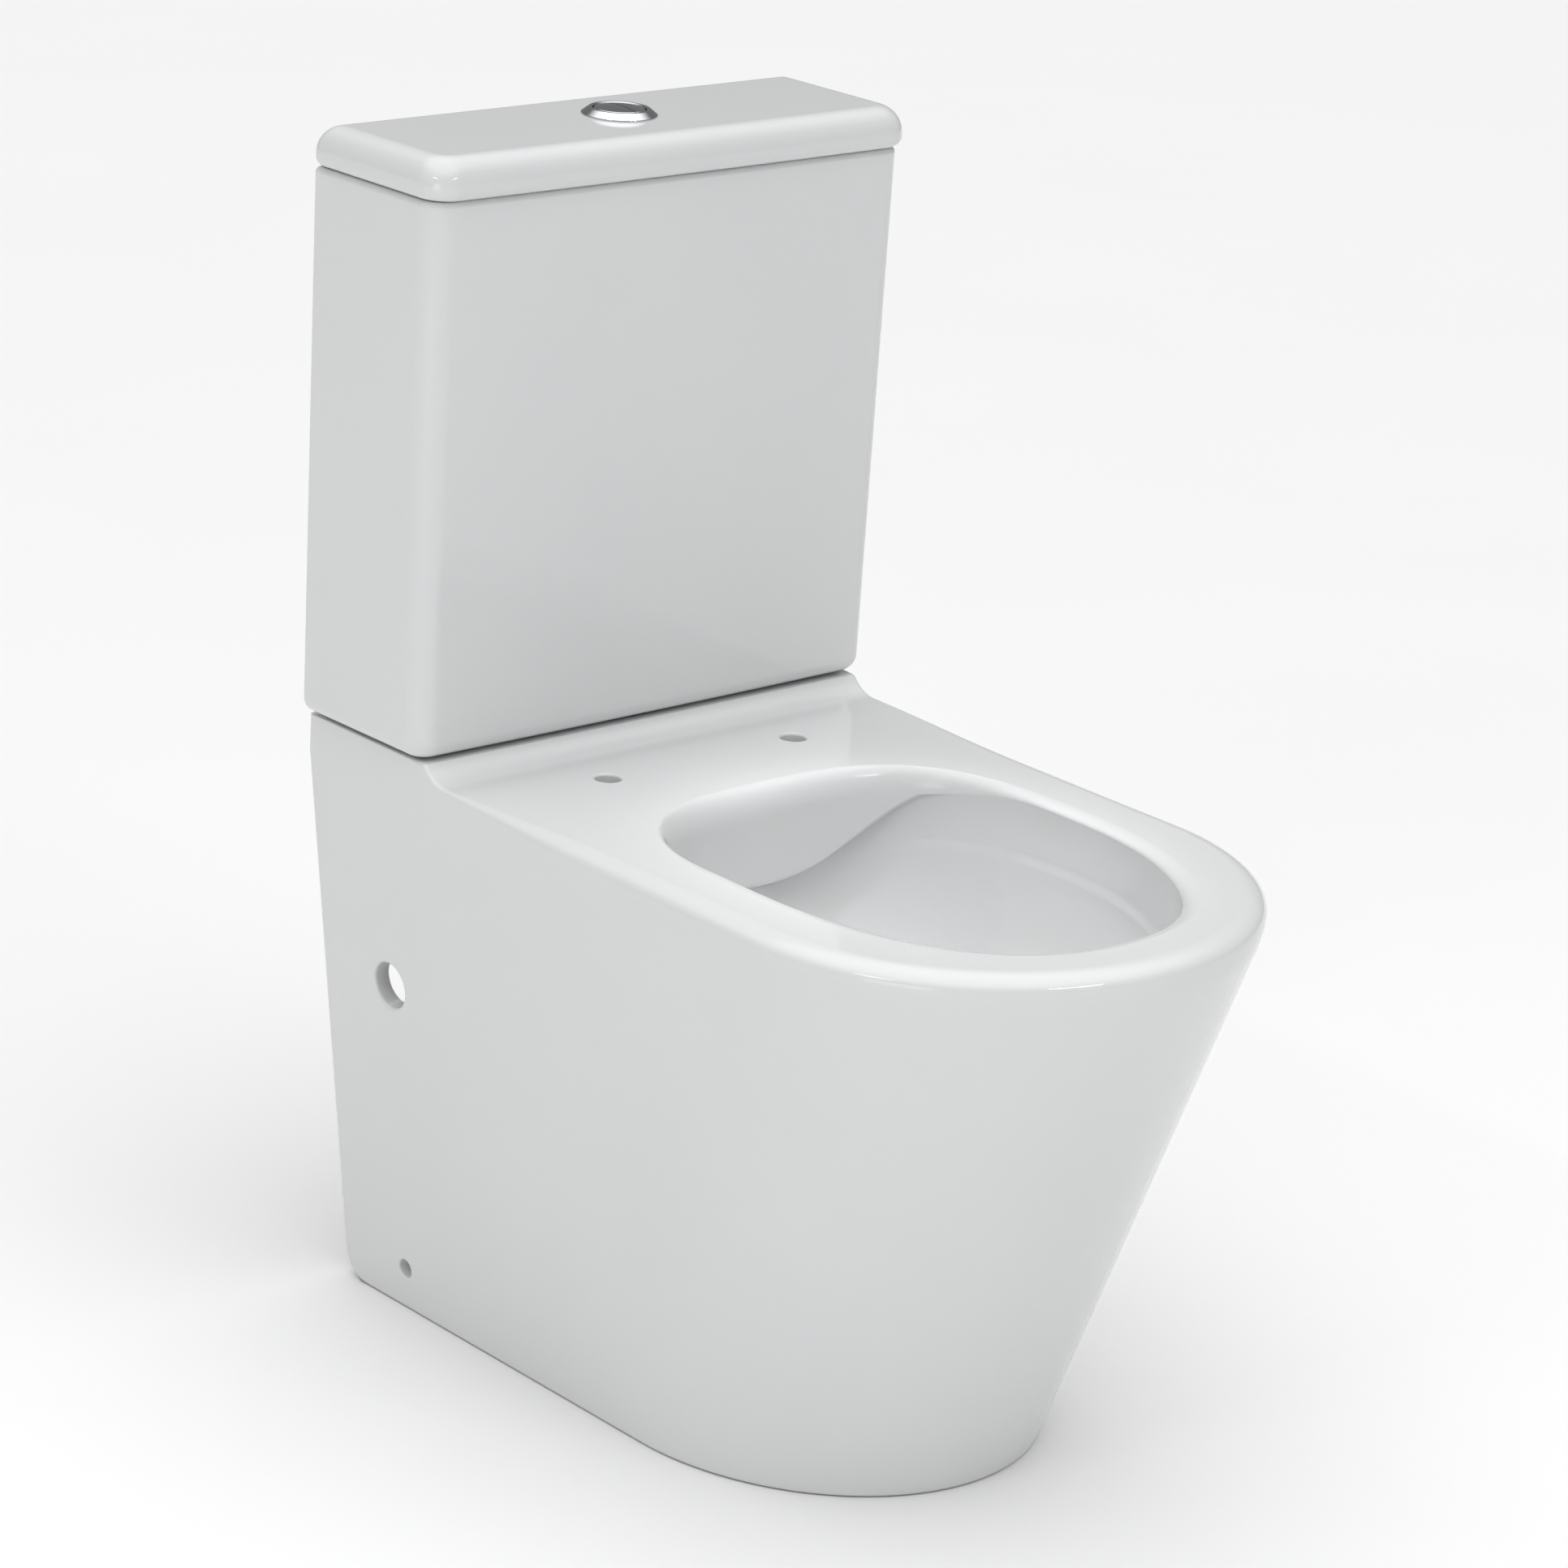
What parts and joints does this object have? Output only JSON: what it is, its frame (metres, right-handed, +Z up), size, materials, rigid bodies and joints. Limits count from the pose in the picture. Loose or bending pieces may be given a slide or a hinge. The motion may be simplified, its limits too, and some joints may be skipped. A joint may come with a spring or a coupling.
{
  "type": "close coupled toilet",
  "caption": "Close coupled back-to-wall toilet: skirted rimless pan with a lever-free dual flush cistern on top, and its working valves inside.",
  "frame": {"origin": "on the floor, on the centre line, halfway between the wall plane and the front of the rim", "axes": "+Z up, -Y towards the front of the rim, +Y towards the wall, +X to the right seen from the front"},
  "size_m": [0.4, 0.621, 0.8116],
  "materials": {
    "white_china": "glossy vitreous china glaze",
    "white_plastic": "moulded white polypropylene",
    "grey_plastic": "moulded grey plastic",
    "blue_plastic": "moulded blue plastic",
    "black_rubber": "moulded rubber",
    "chrome_plate": "polished chrome plate",
    "brass": "turned brass",
    "stainless_steel": "drawn stainless wire and pins"
  },
  "bodies": {
    "suite": {"pan": "white_china", "cistern_tank": "white_china", "cistern_pads": "black_rubber", "coupling_gasket": "black_rubber", "coupling_bolts": "brass", "coupling_bolt_seals": "black_rubber", "coupling_washers": "brass", "coupling_wing_nuts": "brass", "flush_valve_base": "white_plastic", "flush_valve_tail_washer": "black_rubber", "flush_valve_backnut": "white_plastic", "flush_valve_cage": "blue_plastic", "lever_pin": "stainless_steel", "half_float_rod": "stainless_steel", "fill_valve_shank": "white_plastic", "fill_valve_washer": "black_rubber", "fill_valve_backnut": "white_plastic", "fill_valve_head": "blue_plastic", "fill_lever_pin": "stainless_steel", "refill_tube": "grey_plastic"},
    "lid": {"cistern_lid": "white_china", "button_bezel": "chrome_plate", "button_barrel": "white_plastic", "button_nut": "white_plastic", "spring_full": "stainless_steel", "spring_half": "stainless_steel"},
    "full_button": {"button_full": "chrome_plate", "push_rod_full": "white_plastic"},
    "half_button": {"button_half": "chrome_plate", "push_rod_half": "white_plastic"},
    "valve_core": {"overflow_tube": "white_plastic", "flush_valve_seal": "black_rubber", "valve_float": "grey_plastic"},
    "full_lever": {"full_flush_lever": "grey_plastic"},
    "half_lever": {"half_flush_lever": "blue_plastic"},
    "half_float": {"half_flush_float": "grey_plastic"},
    "fill_lever": {"fill_valve_lever": "white_plastic"},
    "fill_float": {"fill_valve_float": "grey_plastic", "float_adjust_rod": "white_plastic"}
  },
  "joints": [
    {"name": "lid_lift", "type": "slide", "parent": "suite", "child": "lid", "axis": [0, 0, 1], "range_m": [0, 0.2]},
    {"name": "full_press", "type": "slide", "parent": "lid", "child": "full_button", "axis": [0, 0, -1], "range_m": [0, 0.005], "stiffness_N_per_m": 400, "springref_m": -0.006, "deforming": ["spring_full"]},
    {"name": "half_press", "type": "slide", "parent": "lid", "child": "half_button", "axis": [0, 0, -1], "range_m": [0, 0.005], "stiffness_N_per_m": 400, "springref_m": -0.006, "deforming": ["spring_half"]},
    {"name": "valve_lift", "type": "slide", "parent": "suite", "child": "valve_core", "axis": [0, 0, 1], "range_m": [0, 0.0101]},
    {"name": "full_lever_turn", "type": "hinge", "parent": "suite", "child": "full_lever", "pos_m": [0, 0.2415, 0.625], "axis": [0, 1, 0], "range_deg": [0, 32]},
    {"name": "half_lever_turn", "type": "hinge", "parent": "suite", "child": "half_lever", "pos_m": [0, 0.2515, 0.625], "axis": [0, -1, 0], "range_deg": [0, 32]},
    {"name": "half_float_rise", "type": "slide", "parent": "suite", "child": "half_float", "axis": [0, 0, 1], "range_m": [0, 0.028]},
    {"name": "fill_float_rise", "type": "slide", "parent": "suite", "child": "fill_float", "axis": [0, 0, 1], "range_m": [0, 0.03]},
    {"name": "fill_lever_turn", "type": "hinge", "parent": "suite", "child": "fill_lever", "pos_m": [0.122, 0.2465, 0.676], "axis": [0, 1, 0], "range_deg": [0, 41]}
  ],
  "couplings": [
    {"joint": "valve_lift", "follows": "full_press", "ratio": 2},
    {"joint": "full_lever_turn", "follows": "full_press", "rad_per_m": 110},
    {"joint": "half_lever_turn", "follows": "half_press", "rad_per_m": 110},
    {"joint": "fill_lever_turn", "follows": "fill_float_rise", "rad_per_m": 23.2}
  ]
}
